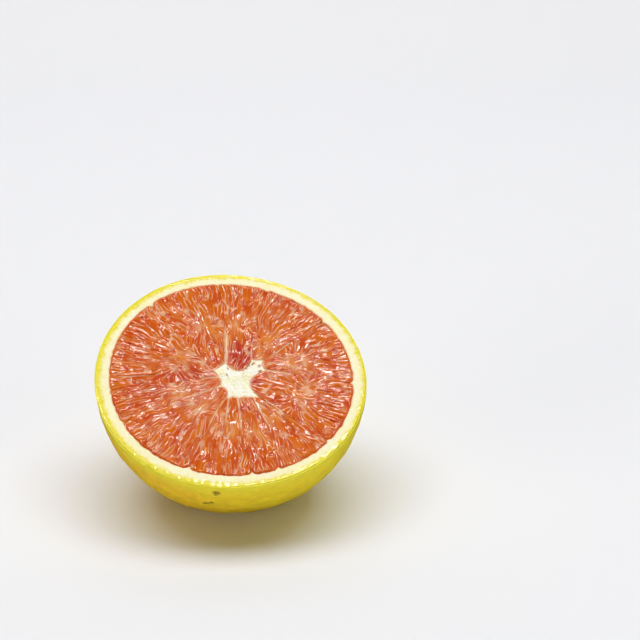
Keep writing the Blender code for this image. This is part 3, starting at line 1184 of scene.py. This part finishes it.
def make_floor():
    shape = bmesh.new()
    bmesh.ops.create_grid(shape, x_segments=1, y_segments=1, size=FLOOR_HALF)
    far = [edge for edge in shape.edges if all(corner.co.y > 0 for corner in edge.verts)]
    for corner in far[0].verts:
        corner.co.y = FLOOR_BACK
    made = bmesh.ops.extrude_edge_only(shape, edges=far)["geom"]
    for item in made:
        if isinstance(item, bmesh.types.BMVert):
            item.co.z = BACKDROP_TOP
            item.co.y = BACKDROP_BACK
    fold = [edge for edge in shape.edges if len(edge.link_faces) == 2]
    bevel = {"affect": "EDGES", "segments": BEND_STEPS, "profile": 0.5, "material": -1}
    bmesh.ops.bevel(shape, geom=fold, offset=BEND_WIDTH, **bevel)
    mesh = bpy.data.meshes.new("floor")
    shape.to_mesh(mesh)
    shape.free()
    mesh.shade_smooth()
    mesh.materials.append(floor_finish())
    floor = bpy.data.objects.new("floor", mesh)
    bpy.context.scene.collection.objects.link(floor)
    floor.visible_glossy = False
    print("the backdrop rises to", BACKDROP_TOP, "m")


make_floor()

# %% [markdown]
# One wide soft lamp overhead rounds the fruit and lays its shadow on the floor, and two low ones
# fill the sides with warmer light. Lamps that large would show as white sheets in the wet pulp, so
# they are hidden from gloss. Three smaller lamps show in gloss alone and make the glints. The world
# adds a faint warm light from all round.

# %% Light
SCENE = bpy.context.scene
AIM = Vector((0.0, 0.0, 0.02))
WARM = (1.0, 0.92, 0.70)


def lamp(name, place, size, power, colour=(1.0, 1.0, 1.0), shine=True):
    """A soft lamp aimed at the half. One that shines shows in gloss alone, and lights nothing."""
    light = bpy.data.lights.new(name, "AREA")
    light.shape = "RECTANGLE"
    light.size, light.size_y = size
    light.energy = power
    light.color = colour
    made = bpy.data.objects.new(name, light)
    made.location = place
    away = made.location - AIM
    made.rotation_euler = away.to_track_quat("Z", "Y").to_euler()
    made.visible_glossy = shine
    made.visible_diffuse = not shine
    SCENE.collection.objects.link(made)
    print(name, "gives", power, "W")


lamp("overhead", (0.0, 0.10, 1.5), (2.1, 0.9), 26.2, (0.98, 1.0, 1.075), shine=False)
lamp("left_fill", (-1.0, -0.6, 0.25), (0.6, 0.35), 3.4, WARM, shine=False)
lamp("right_fill", (1.0, -0.7, 0.25), (0.6, 0.35), 4.0, WARM, shine=False)
lamp("top_glint", (0.115, -0.15, 1.06), (0.42, 0.16), 3.8)
lamp("left_glint", (-0.62, 0.10, 0.85), (0.20, 0.40), 3.2)
lamp("back_glint", (0.05, 0.80, 0.75), (0.45, 0.20), 3.4)

world = bpy.data.worlds.new("studio")
world.use_nodes = True
around = world.node_tree.nodes["Background"].inputs
around["Color"].default_value = (1.0, 0.90, 0.66, 1.0)
around["Strength"].default_value = 0.08
SCENE.world = world
world.cycles_visibility.glossy = False
SCENE.view_settings.view_transform = "Standard"

# %% [markdown]
# The camera stands where the photo was taken from: about half a metre away, looking down by 26
# degrees at the middle of the cut, which lies left of and below the middle of the picture. So the
# camera looks a little to the right of and above the fruit. Its turn is worked out from where the
# middle of the cut falls in the picture, with no lens shift.

# %% Camera
FRAME = 640
FOCAL = 1810.0
CUT_PIXEL = (230.3, 376.6)
DISTANCE = 0.535
LOOK_DOWN = math.radians(26.2)
SENSOR_WIDTH = 36.0


def camera_axes():
    """The camera's right, up and ahead, level, with the middle of the cut on its pixel."""
    right = (CUT_PIXEL[0] - FRAME / 2) / FOCAL
    below = (CUT_PIXEL[1] - FRAME / 2) / FOCAL
    slant = math.sqrt(1 + right**2 + below**2) * math.sin(LOOK_DOWN) / math.sqrt(1 + below**2)
    pitch = math.asin(slant) - math.atan(below)
    yaw = -math.atan2(right, math.cos(pitch) - below * math.sin(pitch))
    level = Vector((math.cos(yaw), -math.sin(yaw), 0))
    flat = math.cos(pitch)
    ahead = Vector((math.sin(yaw) * flat, math.cos(yaw) * flat, -math.sin(pitch)))
    return level, level.cross(ahead), ahead


def make_camera():
    data = bpy.data.cameras.new("camera")
    data.sensor_width = SENSOR_WIDTH
    data.lens = SENSOR_WIDTH * FOCAL / FRAME
    camera = bpy.data.objects.new("camera", data)
    level, up, ahead = camera_axes()
    camera.rotation_euler = Matrix((level, up, -ahead)).transposed().to_euler()
    sight = Vector((0, math.cos(LOOK_DOWN), -math.sin(LOOK_DOWN)))
    camera.location = CUT_CENTRE - DISTANCE * sight
    SCENE.collection.objects.link(camera)
    SCENE.camera = camera
    seen = CUT_CENTRE - camera.location
    across = FRAME / 2 + FOCAL * seen.dot(level) / seen.dot(ahead)
    down = FRAME / 2 - FOCAL * seen.dot(up) / seen.dot(ahead)
    print("middle of the cut falls on pixel", round(across, 1), round(down, 1))


make_camera()
